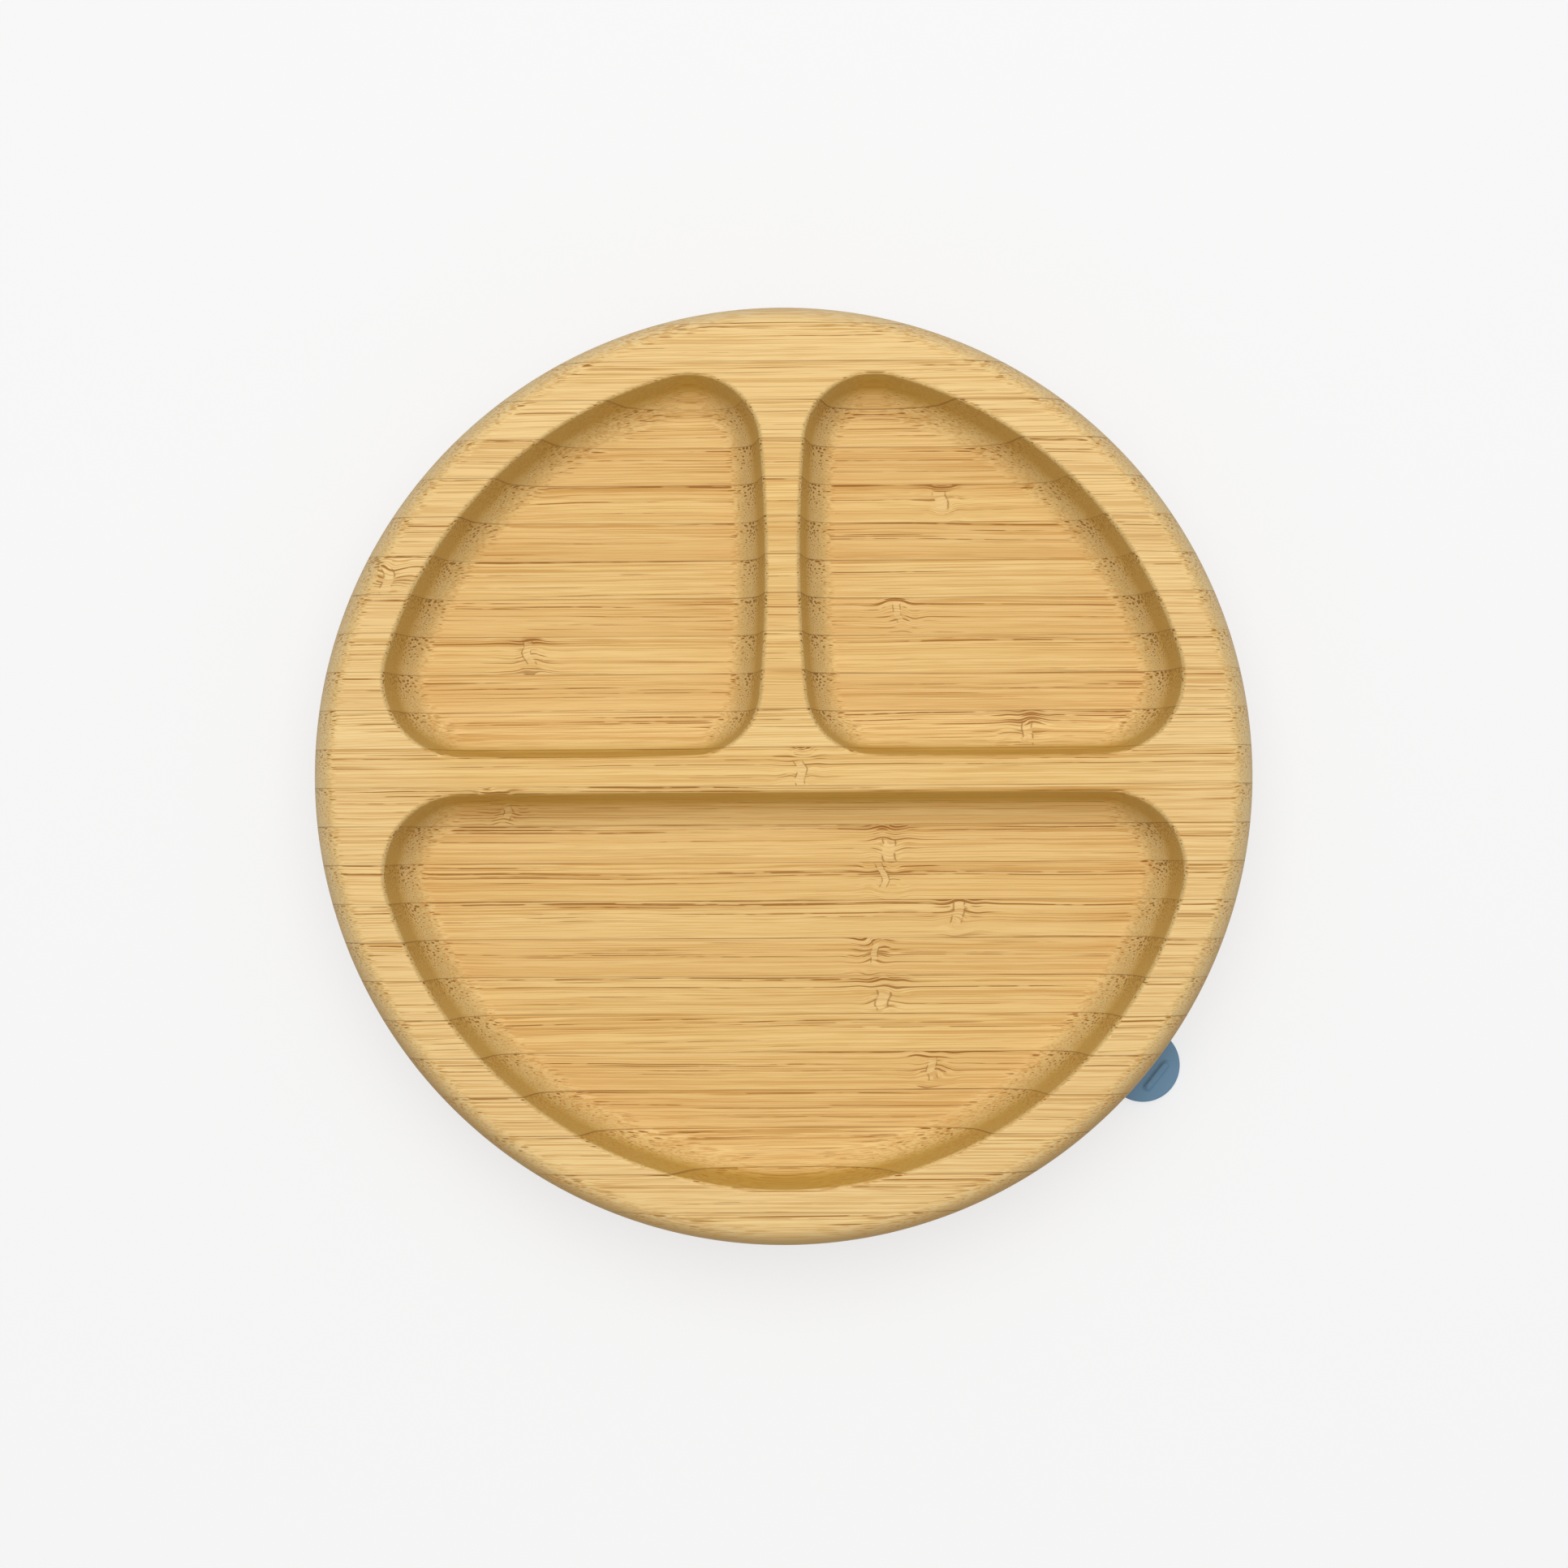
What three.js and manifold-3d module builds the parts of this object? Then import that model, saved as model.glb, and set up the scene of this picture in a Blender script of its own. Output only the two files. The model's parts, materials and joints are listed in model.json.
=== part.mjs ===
// Baby suction plate: a round bamboo board with three food pockets, glued up from laths
// that stand on edge, on a removable silicone suction ring with a pull tab.
// Millimetres, +Z up. The origin is on the table under the middle of the plate,
// and +Y points to the two small pockets.

import * as THREE from "three";
import { mergeVertices } from "three/addons/utils/BufferGeometryUtils.js";
import Module from "manifold-3d";

const wasm = await Module();
wasm.setup();

// Board
const PLATE_RADIUS = 90;
const POCKET_DEPTH = 13;
const FLOOR_THICKNESS = 7.5;
const UNDERSIDE_HEIGHT = 11;
const TOP_EDGE_RADIUS = 5;
const BOTTOM_EDGE_RADIUS = 7;

// Laths, glued side by side along Y: equal ones, and a narrower strip at the front and back
const LATH_COUNT = 25;
const FRONT_LATH_WIDTH = 6.77;
const BACK_LATH_WIDTH = 3.72;
const GLUE_LINE = 0.12;

// Food pockets, measured where the wall meets the rounded lip
const RIM_WIDTH = 11.2;
const CROSS_DIVIDER_WIDTH = 7.2;
const CENTRE_DIVIDER_WIDTH = 6.9;
const SIDE_BOW_RADIUS = 270;
const LOWER_SIDE_BOW_RADIUS = 900;
const CROWN_CORNER_RADIUS = 13.4;
const INNER_CORNER_RADIUS = 12.7;
const OUTER_CORNER_RADIUS = 14.9;
const LARGE_CORNER_RADIUS = 14.9;
const STRAIGHT_SIDE_RADIUS = 20000;
const LIP_ROUND_RADIUS = 1;
const WALL_DRAFT = THREE.MathUtils.degToRad(8);
const FLOOR_FILLET_RADIUS = 6;

// Groove in the underside for the suction ring
const GROOVE_RADIUS = 46;
const GROOVE_WIDTH = 5;
const GROOVE_DEPTH = 4.5;

// Suction ring
const SEAT_GAP = 0.3;
const FLANGE_INSIDE = 2;
const FLANGE_OUTSIDE = 3;
const FLANGE_THICKNESS = 2.5;
const RIB_CHAMFER = 0.6;
const SKIRT_WALL = 3.5;
const LIP_REACH = 10.5;
const LIP_FLAT_WIDTH = 7;
const LIP_THICKNESS = 1.8;
const LIP_EDGE_CHAMFER = 0.5;

// Pull tab, with a grip rib across it
const TAB_ANGLE = THREE.MathUtils.degToRad(-39);
const TAB_OVERHANG = 9.8;
const TAB_WIDTH = 14.9;
const TAB_THICKNESS = 2;
const TAB_CLEARANCE = 0.4;
const TAB_EDGE_ROUND = 0.4;
const RIB_FROM_TIP = 4;
const RIB_LENGTH = 7.6;
const RIB_WIDTH = 2;
const RIB_HEIGHT = 0.8;

// Facets
const RING_SEGMENTS = 80;
const EDGE_STEPS = 3;
const LIP_STEPS = 2;
const FILLET_STEPS = 3;
const TAB_END_STEPS = 12;
const RIB_END_STEPS = 6;
const CHORD_TOLERANCE = 0.1;
const MERGE_DISTANCE = 1e-4;
const CUT_MARGIN = 2;

// Finishes
const BAMBOO = { color: 0xe1bd82, roughness: 0.55, metalness: 0 };
const SILICONE = { color: 0x5d778f, roughness: 0.65, metalness: 0 };

// Places that follow from the sizes above
const boardThickness = FLOOR_THICKNESS + POCKET_DEPTH;
const pocketRadius = PLATE_RADIUS - RIM_WIDTH;
const frontGlueLine = FRONT_LATH_WIDTH - PLATE_RADIUS;
const backGlueLine = PLATE_RADIUS - BACK_LATH_WIDTH;
const lathWidth = (backGlueLine - frontGlueLine) / (LATH_COUNT - 2);
const grooveInner = GROOVE_RADIUS - GROOVE_WIDTH / 2;
const grooveOuter = GROOVE_RADIUS + GROOVE_WIDTH / 2;
const flangeTop = UNDERSIDE_HEIGHT - SEAT_GAP;
const flangeBottom = flangeTop - FLANGE_THICKNESS;
const flangeOuter = grooveOuter + FLANGE_OUTSIDE;
const skirtTop = flangeBottom - SEAT_GAP;
const lipRadius = flangeOuter + LIP_REACH;
const tabRoot = lipRadius + SEAT_GAP;
const tabTip = PLATE_RADIUS + TAB_OVERHANG;

// A closed geometry as a solid that can be cut and joined.
function solid(geometry) {
  const shell = geometry.clone();
  shell.deleteAttribute("normal");
  shell.deleteAttribute("uv");
  const merged = mergeVertices(shell, MERGE_DISTANCE);
  const corners = Array.from(merged.index.array);
  const triangles = [];
  for (let i = 0; i < corners.length; i += 3) {
    const triangle = corners.slice(i, i + 3);
    if (new Set(triangle).size === 3) triangles.push(...triangle);
  }
  return new wasm.Manifold(new wasm.Mesh({
    numProp: 3,
    vertProperties: new Float32Array(merged.attributes.position.array),
    triVerts: new Uint32Array(triangles),
  }));
}

function geometryOf(body) {
  const mesh = body.getMesh();
  const geometry = new THREE.BufferGeometry();
  geometry.setAttribute("position", new THREE.BufferAttribute(mesh.vertProperties, 3));
  geometry.setIndex(new THREE.BufferAttribute(mesh.triVerts, 1));
  geometry.computeVertexNormals();
  return geometry;
}

function piece(name, geometry, finish) {
  const mesh = new THREE.Mesh(geometry, new THREE.MeshStandardMaterial(finish));
  mesh.name = name;
  return mesh;
}

// A profile of (radius, height) points turned about Z.
function turned(profile) {
  const points = profile.map(([radius, height]) => new THREE.Vector2(radius, height));
  return new THREE.LatheGeometry(points, RING_SEGMENTS).rotateX(Math.PI / 2);
}

function arc(x, y, radius, from, to, steps) {
  const points = [];
  for (let i = 0; i <= steps; i++) {
    const angle = from + ((to - from) * i) / steps;
    points.push([x + radius * Math.cos(angle), y + radius * Math.sin(angle)]);
  }
  return points;
}

// Where a round of the given radius sits inside two discs, on the corner that
// an anticlockwise walk passes from the first disc to the second.
function cornerCentre(first, second, radius) {
  const a = first.radius - radius;
  const b = second.radius - radius;
  const along = second.centre.clone().sub(first.centre);
  const gap = along.length();
  along.normalize();
  const reach = (a * a - b * b + gap * gap) / (2 * gap);
  const side = Math.sqrt(a * a - reach * reach);
  const left = new THREE.Vector2(-along.y, along.x);
  return first.centre.clone().addScaledVector(along, reach).addScaledVector(left, side);
}

// The outline of a pocket as points with outward normals, anticlockwise. Each disc gives
// one side of the pocket, and corners[i] is the radius between sides i and i + 1.
function pocketOutline(discs, corners) {
  const count = discs.length;
  const centres = discs.map((disc, i) => cornerCentre(disc, discs[(i + 1) % count], corners[i]));
  const outline = [];
  const sweep = (centre, radius, start, end) => {
    const from = start.angle();
    const span = THREE.MathUtils.euclideanModulo(end.angle() - from, 2 * Math.PI);
    const step = 2 * Math.acos(1 - CHORD_TOLERANCE / radius);
    const steps = Math.max(1, Math.ceil(span / step));
    for (let i = 0; i < steps; i++) {
      const angle = from + (span * i) / steps;
      const normal = new THREE.Vector2(Math.cos(angle), Math.sin(angle));
      outline.push({ point: normal.clone().multiplyScalar(radius).add(centre), normal });
    }
  };
  discs.forEach((disc, i) => {
    const before = centres[(i + count - 1) % count];
    const after = centres[i];
    const next = discs[(i + 1) % count];
    const leaving = after.clone().sub(disc.centre);
    sweep(disc.centre, disc.radius, before.clone().sub(disc.centre), leaving);
    sweep(after, corners[i], leaving, after.clone().sub(next.centre));
  });
  return outline;
}

// The pocket's section as [inset from the outline, height], from the floor up:
// floor fillet, drafted wall, rounded lip, and a margin above the rim.
function pocketSection() {
  const floor = FLOOR_THICKNESS;
  const fillet = Math.min(FLOOR_FILLET_RADIUS, POCKET_DEPTH - LIP_ROUND_RADIUS);
  const lipBase = boardThickness - LIP_ROUND_RADIUS;
  const wallFoot = floor + fillet * (1 - Math.sin(WALL_DRAFT));
  const wallRun = (lipBase - wallFoot) * Math.tan(WALL_DRAFT);
  const filletInset = wallRun + fillet * Math.cos(WALL_DRAFT);
  return [
    ...arc(filletInset, floor + fillet, fillet, -Math.PI / 2, -Math.PI + WALL_DRAFT, FILLET_STEPS),
    ...arc(-LIP_ROUND_RADIUS, lipBase, LIP_ROUND_RADIUS, 0, Math.PI / 2, LIP_STEPS),
    [-LIP_ROUND_RADIUS, boardThickness + CUT_MARGIN],
  ];
}

// A closed solid through the outline at each inset and height, from the floor up.
function loft(outline, section) {
  const positions = [];
  const triangles = [];
  const count = outline.length;
  for (const [inset, height] of section) {
    for (const { point, normal } of outline) {
      positions.push(point.x - inset * normal.x, point.y - inset * normal.y, height);
    }
  }
  const at = (ring, i) => ring * count + (i % count);
  const last = section.length - 1;
  for (let ring = 0; ring < last; ring++) {
    for (let i = 0; i < count; i++) {
      triangles.push(at(ring, i), at(ring, i + 1), at(ring + 1, i + 1));
      triangles.push(at(ring, i), at(ring + 1, i + 1), at(ring + 1, i));
    }
  }
  for (let i = 1; i < count - 1; i++) {
    triangles.push(at(0, 0), at(0, i + 1), at(0, i));
    triangles.push(at(last, 0), at(last, i), at(last, i + 1));
  }
  const geometry = new THREE.BufferGeometry();
  geometry.setAttribute("position", new THREE.Float32BufferAttribute(positions, 3));
  geometry.setIndex(triangles);
  return geometry;
}

// The three pockets: two small ones behind the cross divider, mirror images of each other,
// and a large one in front of it.
function pockets() {
  const rim = { centre: new THREE.Vector2(0, 0), radius: pocketRadius };
  const dividerEdge = CROSS_DIVIDER_WIDTH / 2;
  const waist = (dividerEdge + pocketRadius) / 2;
  const middle = (CENTRE_DIVIDER_WIDTH / 2 + pocketRadius) / 2;
  const inner = {
    centre: new THREE.Vector2(CENTRE_DIVIDER_WIDTH / 2 + SIDE_BOW_RADIUS, waist),
    radius: SIDE_BOW_RADIUS,
  };
  const lower = {
    centre: new THREE.Vector2(middle, dividerEdge + LOWER_SIDE_BOW_RADIUS),
    radius: LOWER_SIDE_BOW_RADIUS,
  };
  const across = {
    centre: new THREE.Vector2(0, -dividerEdge - STRAIGHT_SIDE_RADIUS),
    radius: STRAIGHT_SIDE_RADIUS,
  };
  const right = pocketOutline(
    [rim, inner, lower],
    [CROWN_CORNER_RADIUS, INNER_CORNER_RADIUS, OUTER_CORNER_RADIUS],
  );
  const mirror = ({ x, y }) => new THREE.Vector2(-x, y);
  const left = right
    .map(({ point, normal }) => ({ point: mirror(point), normal: mirror(normal) }))
    .reverse();
  const front = pocketOutline([rim, across], [LARGE_CORNER_RADIUS, LARGE_CORNER_RADIUS]);
  return [left, right, front].map((outline) => solid(loft(outline, pocketSection())));
}

// The whole board before it is seen as laths, with its underside at height 0.
function board() {
  const blank = solid(turned([
    [0, 0],
    [grooveInner, 0],
    [grooveInner, GROOVE_DEPTH],
    [grooveOuter, GROOVE_DEPTH],
    [grooveOuter, 0],
    ...arc(PLATE_RADIUS - BOTTOM_EDGE_RADIUS, BOTTOM_EDGE_RADIUS, BOTTOM_EDGE_RADIUS,
      -Math.PI / 2, 0, EDGE_STEPS),
    ...arc(PLATE_RADIUS - TOP_EDGE_RADIUS, boardThickness - TOP_EDGE_RADIUS, TOP_EDGE_RADIUS,
      0, Math.PI / 2, EDGE_STEPS),
    [0, boardThickness],
  ]));
  return pockets().reduce((rest, pocket) => rest.subtract(pocket), blank);
}

// One piece for each lath, from the front of the plate to the back.
function laths() {
  const whole = board();
  const glueLines = [-PLATE_RADIUS - CUT_MARGIN];
  for (let i = 0; i < LATH_COUNT - 1; i++) glueLines.push(frontGlueLine + i * lathWidth);
  glueLines.push(PLATE_RADIUS + CUT_MARGIN);
  const pieces = [];
  for (let i = 0; i < LATH_COUNT; i++) {
    const width = glueLines[i + 1] - glueLines[i] - GLUE_LINE;
    const slab = new THREE.BoxGeometry(
      2 * (PLATE_RADIUS + CUT_MARGIN), width, boardThickness + 2 * CUT_MARGIN,
    );
    slab.translate(0, (glueLines[i] + glueLines[i + 1]) / 2, boardThickness / 2);
    const name = `bamboo_lath_${String(i + 1).padStart(2, "0")}`;
    pieces.push(piece(name, geometryOf(whole.intersect(solid(slab))), BAMBOO));
  }
  return pieces;
}

// The collar that holds the ring on the plate: a rib in the groove on a flat flange.
function suctionCollar() {
  const flangeInner = grooveInner - FLANGE_INSIDE;
  const ribInner = grooveInner + SEAT_GAP;
  const ribOuter = grooveOuter - SEAT_GAP;
  const ribTop = UNDERSIDE_HEIGHT + GROOVE_DEPTH - SEAT_GAP;
  return turned([
    [flangeInner, flangeBottom],
    [flangeOuter, flangeBottom],
    [flangeOuter, flangeTop],
    [ribOuter, flangeTop],
    [ribOuter, ribTop - RIB_CHAMFER],
    [ribOuter - RIB_CHAMFER, ribTop],
    [ribInner + RIB_CHAMFER, ribTop],
    [ribInner, ribTop - RIB_CHAMFER],
    [ribInner, flangeTop],
    [flangeInner, flangeTop],
    [flangeInner, flangeBottom],
  ]);
}

// The bell-shaped skirt under the collar, down to the lip that seals on the table.
function suctionSkirt() {
  const bell = (fromRadius, fromHeight, toRadius, toHeight) => {
    const start = new THREE.Vector2(fromRadius, fromHeight);
    const knee = new THREE.Vector2(fromRadius, toHeight);
    const end = new THREE.Vector2(toRadius, toHeight);
    return new THREE.QuadraticBezierCurve(start, knee, end)
      .getPoints(FILLET_STEPS)
      .map(({ x, y }) => [x, y]);
  };
  const skirtInner = flangeOuter - SKIRT_WALL;
  const lipInner = lipRadius - LIP_FLAT_WIDTH;
  const lipShoulder = lipRadius - LIP_EDGE_CHAMFER;
  const inside = bell(skirtInner, skirtTop, lipInner, 0);
  const outside = bell(flangeOuter, skirtTop, lipShoulder, LIP_THICKNESS);
  return turned([
    ...inside,
    [lipShoulder, 0],
    [lipRadius, LIP_EDGE_CHAMFER],
    [lipRadius, LIP_THICKNESS - LIP_EDGE_CHAMFER],
    ...outside.reverse(),
    inside[0],
  ]);
}

// The tab along +X: a tongue with a round end and, across it, a low rib to grip.
function pullTab() {
  const half = TAB_WIDTH / 2;
  const rootAngle = Math.asin(half / tabRoot);
  const tongue = new THREE.Shape()
    .absarc(tabTip - half, 0, half, -Math.PI / 2, Math.PI / 2, false)
    .absarc(0, 0, tabRoot, rootAngle, -rootAngle, true);
  tongue.closePath();
  const ribHalf = (RIB_LENGTH - RIB_WIDTH) / 2;
  const ribPlace = tabTip - RIB_FROM_TIP;
  const rib = new THREE.Shape()
    .absarc(ribPlace, ribHalf, RIB_WIDTH / 2, 0, Math.PI, false)
    .absarc(ribPlace, -ribHalf, RIB_WIDTH / 2, Math.PI, 2 * Math.PI, false);
  rib.closePath();
  const rounded = (shape, depth, curveSegments) => new THREE.ExtrudeGeometry(shape, {
    depth: depth - 2 * TAB_EDGE_ROUND,
    bevelThickness: TAB_EDGE_ROUND,
    bevelSize: TAB_EDGE_ROUND,
    bevelOffset: -TAB_EDGE_ROUND,
    bevelSegments: LIP_STEPS,
    curveSegments,
  }).translate(0, 0, TAB_EDGE_ROUND);
  const body = rounded(tongue, TAB_THICKNESS, TAB_END_STEPS);
  const ridge = rounded(rib, TAB_THICKNESS / 2 + RIB_HEIGHT, RIB_END_STEPS);
  ridge.translate(0, 0, TAB_THICKNESS / 2);
  return geometryOf(solid(body).add(solid(ridge)));
}

const plate = new THREE.Group();
plate.position.z = UNDERSIDE_HEIGHT;
plate.add(...laths());

const tab = new THREE.Group();
tab.rotation.z = TAB_ANGLE;
tab.position.z = TAB_CLEARANCE;
tab.add(piece("pull_tab", pullTab(), SILICONE));

const suctionPlate = new THREE.Group();
suctionPlate.add(
  plate,
  piece("suction_collar", suctionCollar(), SILICONE),
  piece("suction_skirt", suctionSkirt(), SILICONE),
  tab,
);

export default suctionPlate;
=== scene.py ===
"""Looks of the baby suction plate: bamboo laths glued up into a divided plate, on a silicone suction ring.

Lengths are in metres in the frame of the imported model. +Z is up, and the front of the plate is towards -Y.
"""

import json
import math

import bmesh
import bpy
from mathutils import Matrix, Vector


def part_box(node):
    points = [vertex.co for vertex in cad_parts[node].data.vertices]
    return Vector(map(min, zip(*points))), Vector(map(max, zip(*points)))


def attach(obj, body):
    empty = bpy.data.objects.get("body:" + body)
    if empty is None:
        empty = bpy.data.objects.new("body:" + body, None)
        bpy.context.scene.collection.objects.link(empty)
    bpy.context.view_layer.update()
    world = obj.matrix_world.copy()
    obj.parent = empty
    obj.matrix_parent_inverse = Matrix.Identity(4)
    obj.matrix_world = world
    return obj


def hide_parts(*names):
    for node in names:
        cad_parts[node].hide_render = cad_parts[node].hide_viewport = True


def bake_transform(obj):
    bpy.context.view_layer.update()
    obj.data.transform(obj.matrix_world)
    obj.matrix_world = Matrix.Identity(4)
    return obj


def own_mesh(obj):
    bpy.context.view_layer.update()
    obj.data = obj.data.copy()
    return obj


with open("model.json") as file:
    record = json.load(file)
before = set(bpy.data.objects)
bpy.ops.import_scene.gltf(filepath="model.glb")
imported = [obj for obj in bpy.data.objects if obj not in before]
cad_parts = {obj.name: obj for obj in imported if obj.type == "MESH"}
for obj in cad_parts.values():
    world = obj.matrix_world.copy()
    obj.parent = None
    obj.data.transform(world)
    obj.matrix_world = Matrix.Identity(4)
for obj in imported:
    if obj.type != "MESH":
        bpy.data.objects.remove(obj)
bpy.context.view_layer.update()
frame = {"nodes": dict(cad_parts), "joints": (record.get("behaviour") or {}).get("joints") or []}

MM = 0.001

# Plate, measured on the frame
LATH_NODES = sorted(name for name in frame["nodes"] if name.startswith("bamboo_lath_"))
LATH_BOXES = [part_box(name) for name in LATH_NODES]
PLATE_RADIUS = max(high.x for low, high in LATH_BOXES)
UNDERSIDE = min(low.z for low, high in LATH_BOXES)
RIM_TOP = max(high.z for low, high in LATH_BOXES)
GLUE_LINES = [(front[1].y + back[0].y) / 2 for front, back in zip(LATH_BOXES, LATH_BOXES[1:])]
LATH_WIDTH = (GLUE_LINES[-1] - GLUE_LINES[0]) / (len(GLUE_LINES) - 1)

# Plate, as in the source of the CAD model
TOP_EDGE_RADIUS = 5 * MM
BOTTOM_EDGE_RADIUS = 7 * MM
POCKET_DEPTH = 13 * MM
RIM_WIDTH = 11.2 * MM
CROSS_DIVIDER_WIDTH = 7.2 * MM
CENTRE_DIVIDER_WIDTH = 6.9 * MM
SIDE_BOW_RADIUS = 270 * MM
LOWER_SIDE_BOW_RADIUS = 900 * MM
STRAIGHT_SIDE_RADIUS = 20
CROWN_CORNER_RADIUS = 13.4 * MM
INNER_CORNER_RADIUS = 12.7 * MM
OUTER_CORNER_RADIUS = 14.9 * MM
LARGE_CORNER_RADIUS = 14.9 * MM
LIP_ROUND_RADIUS = 1 * MM
WALL_DRAFT = math.radians(8)
FLOOR_FILLET_RADIUS = 6 * MM
GROOVE_RADIUS = 46 * MM
GROOVE_WIDTH = 5 * MM
GROOVE_DEPTH = 4.5 * MM

# Suction ring, measured on the frame
COLLAR_LOW, COLLAR_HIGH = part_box("suction_collar")
SKIRT_LOW, SKIRT_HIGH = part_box("suction_skirt")
TAB_LOW, TAB_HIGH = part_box("pull_tab")
JOINTS = {joint["name"]: joint for joint in frame["joints"]}
TAB_HINGE = Vector(JOINTS["tab_lift"]["pos_m"])
TAB_WAY = Vector((TAB_HINGE.x, TAB_HINGE.y, 0)).normalized()

# Suction ring, as in the source of the CAD model
SEAT_GAP = 0.3 * MM
FLANGE_INSIDE = 2 * MM
FLANGE_THICKNESS = 2.5 * MM
SKIRT_WALL = 3.5 * MM
LIP_FLAT_WIDTH = 7 * MM
LIP_THICKNESS = 1.8 * MM
RING_EDGE_ROUND = 0.5 * MM
RIB_EDGE_ROUND = 0.7 * MM
TAB_OVERHANG = 9.8 * MM
TAB_WIDTH = 14.9 * MM
TAB_THICKNESS = 2 * MM
TAB_EDGE_ROUND = 0.6 * MM
TAB_ROOT_FLARE = 3 * MM
TAB_OVERLAP = 1.2 * MM
RIB_FROM_TIP = 4 * MM
RIB_LENGTH = 7.6 * MM
RIB_WIDTH = 2 * MM

# The share of the rib's half width that its flank takes
RIB_FLANK = 0.6

# Fineness of the meshes
RIM_SEGMENTS = 288
RING_SEGMENTS = 192
CHORD = 0.006 * MM
EDGE_STEPS = 10
LIP_STEPS = 5
WALL_STEPS = 3
FILLET_STEPS = 10
RING_ROUND_STEPS = 4
SKIRT_FLARE_STEPS = 14
SKIRT_LIP_STEPS = 8
TAB_ROOT_STEPS = 12
TAB_SIDE_STEPS = 24
TAB_TIP_STEPS = 32
TAB_EDGE_STEPS = 6
TAB_COLUMNS = 48
SUPPORT = 0.15 * MM
SHARP_ANGLE = math.radians(40)
CUT_TOLERANCE = 0.0001 * MM
SAME_PLACE = 0.001 * MM

# Knuckles of the bamboo: number of the lath, and where along it. A lath without one has it far off the plate
KNUCKLES = {
    18: -75 * MM, 16: -50 * MM, 20: 31 * MM, 17: 23 * MM, 14: 47.5 * MM, 13: 3 * MM, 12: -54 * MM,
    11: 20.6 * MM, 10: 19 * MM, 9: 34 * MM, 8: 17.4 * MM, 7: 19 * MM, 5: 28.5 * MM,
}
NO_KNUCKLE = 1.0

# Colours of the bamboo: its ground, from lath to lath and from place to place, with painted shade on the
# pocket walls and the front edge and a painted sheen on the upper outer edge
GROUND_WARM = (0.850, 0.574, 0.220, 1)
GROUND_PALE = (0.875, 0.618, 0.260, 1)
GROUND_TAN = (0.815, 0.534, 0.205, 1)
GROUND_BAND = (0.680, 0.390, 0.115, 1)
RIM_PALE = (0.885, 0.650, 0.315, 1)
WALL_PAINTED_SHADE = (0.550, 0.365, 0.048, 1)
END_GRAIN_GREY = (0.510, 0.385, 0.160, 1)
EDGE_SHEEN_GREY = (0.570, 0.510, 0.360, 1)
FRONT_EDGE_SHADE = (0.400, 0.260, 0.100, 1)

# Colours of the bamboo: the marks on its ground
KNUCKLE_BAR = (0.870, 0.620, 0.280, 1)
KNUCKLE_DASH = (0.340, 0.170, 0.040, 1)
FIBRE = (0.600, 0.310, 0.060, 1)
STREAK = (0.530, 0.245, 0.034, 1)
BUNDLE_ALONG = (0.325, 0.122, 0.011, 1)
BUNDLE_ACROSS = (0.190, 0.092, 0.018, 1)
BUNDLE_RIM = (0.840, 0.680, 0.400, 1)
GLUE = (0.250, 0.120, 0.035, 1)

# Colours of the silicone and of the stage
SILICONE_DEEP = (0.140, 0.268, 0.408, 1)
SILICONE_LIGHT = (0.160, 0.296, 0.442, 1)
SILICONE_SPECK = (0.240, 0.390, 0.540, 1)
STAGE_PALE = (0.94, 0.94, 0.94, 1)
FLOOR_BOUNCE = (0.70, 0.70, 0.70, 1)
WHITE = (1, 1, 1, 1)

# Stage and camera
FLOOR_SIZE = 3.0
FLOOR_DROP = 0.05 * MM
SHADOW_END = 0.15
EVEN_START = 0.60
EVEN_SHARE_NEAR = 0.7
ROOM_LIGHT = 0.45
SOFTBOX_SIZE = 0.7
SOFTBOX_POWER = 5.25
SOFTBOX_PLACE = Vector((0, 0.20, 0.88))
CAMERA_PLACE = (0, -11.4 * MM, 543.5 * MM)
CAMERA_TILT = math.radians(1.07)
CAMERA_ROLL = math.radians(-0.33)
CAMERA_LENS = 61.8
CAMERA_SENSOR = 36
CAMERA_CLIP = 0.01


def arc(x, y, radius, start, end, steps):
    """Points along an arc, both ends included."""
    angles = [start + (end - start) * i / steps for i in range(steps + 1)]
    return [(x + radius * math.cos(a), y + radius * math.sin(a)) for a in angles]


def corner_centre(first, second, radius):
    """Centre of the round between two discs, on an anticlockwise walk from the first to the second."""
    first_centre, first_radius = first
    second_centre, second_radius = second
    to_first = first_radius - radius
    to_second = second_radius - radius
    along = second_centre - first_centre
    gap = along.length
    along = along / gap
    reach = (to_first * to_first - to_second * to_second + gap * gap) / (2 * gap)
    side = math.sqrt(to_first * to_first - reach * reach)
    return first_centre + along * reach + Vector((-along.y, along.x)) * side


def sweep(centre, radius, start, end):
    """Points and outward normals along an anticlockwise arc, its end left out."""
    first = math.atan2(start.y, start.x)
    span = (math.atan2(end.y, end.x) - first) % (2 * math.pi)
    steps = max(1, math.ceil(span / (2 * math.acos(1 - CHORD / radius))))
    normals = []
    for i in range(steps):
        angle = first + span * i / steps
        normals.append(Vector((math.cos(angle), math.sin(angle))))
    return [(centre + normal * radius, normal) for normal in normals]


def pocket_outline(discs, corners):
    """Outline of a pocket as points with outward normals. Discs give its sides, and corners join them."""
    count = len(discs)
    centres = [corner_centre(discs[i], discs[(i + 1) % count], corners[i]) for i in range(count)]
    outline = []
    for i, (centre, radius) in enumerate(discs):
        after = centres[i]
        following = discs[(i + 1) % count][0]
        outline += sweep(centre, radius, centres[i - 1] - centre, after - centre)
        outline += sweep(after, corners[i], after - centre, after - following)
    return outline


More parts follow.
